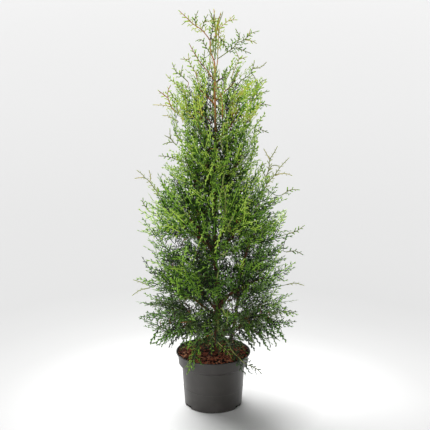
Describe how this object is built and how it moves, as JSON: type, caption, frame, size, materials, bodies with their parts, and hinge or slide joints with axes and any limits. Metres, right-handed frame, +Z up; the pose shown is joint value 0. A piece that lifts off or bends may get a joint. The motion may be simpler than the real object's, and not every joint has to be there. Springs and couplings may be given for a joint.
{
  "type": "potted brabant arborvitae",
  "caption": "Columnar evergreen conifer with flat scale-leaved sprays on arching boughs, growing in a round nursery pot with bark mulch.",
  "frame": {"origin": "centre of the pot's flat underside", "axes": "+Z up along the pot's axis, -Y towards the side that the picture shows"},
  "size_m": [0.502, 0.5212, 1.2092],
  "materials": {
    "pot_plastic": "moulded dark grey polypropylene, satin",
    "soil": "loose dark potting mix, matte",
    "bark_mulch": "chipped red-brown bark, matte",
    "bark": "thin fibrous red-brown bark, matte",
    "foliage": "waxy scale leaves, satin green"
  },
  "bodies": {
    "root": {"bark_mulch": "bark_mulch", "bough_lower_1": "bark", "bough_lower_2": "bark", "bough_lower_3": "bark", "bough_lower_4": "bark", "bough_lower_5": "bark", "bough_middle_2": "bark", "bough_middle_3": "bark", "bough_middle_4": "bark", "bough_middle_5": "bark", "bough_middle_6": "bark", "bough_skirt_1": "bark", "bough_skirt_2": "bark", "bough_skirt_3": "bark", "bough_skirt_4": "bark", "bough_skirt_5": "bark", "bough_skirt_6": "bark", "foliage_high_1": "foliage", "foliage_high_2": "foliage", "foliage_high_3": "foliage", "foliage_high_4": "foliage", "foliage_lower_1": "foliage", "foliage_lower_2": "foliage", "foliage_lower_3": "foliage", "foliage_lower_4": "foliage", "foliage_lower_5": "foliage", "foliage_middle_1": "foliage", "foliage_middle_2": "foliage", "foliage_middle_3": "foliage", "foliage_middle_4": "foliage", "foliage_middle_5": "foliage", "foliage_middle_6": "foliage", "foliage_skirt_1": "foliage", "foliage_skirt_2": "foliage", "foliage_skirt_3": "foliage", "foliage_skirt_4": "foliage", "foliage_skirt_5": "foliage", "foliage_skirt_6": "foliage", "foliage_tip_left": "foliage", "foliage_tip_right": "foliage", "foliage_top_1": "foliage", "foliage_top_2": "foliage", "foliage_top_3": "foliage", "foliage_top_4": "foliage", "foliage_upper_1": "foliage", "foliage_upper_2": "foliage", "foliage_upper_3": "foliage", "foliage_upper_4": "foliage", "foliage_upper_5": "foliage", "leader_right": "bark", "pot": "pot_plastic", "second_stem": "bark", "soil": "soil", "trunk": "bark"}
  },
  "joints": []
}
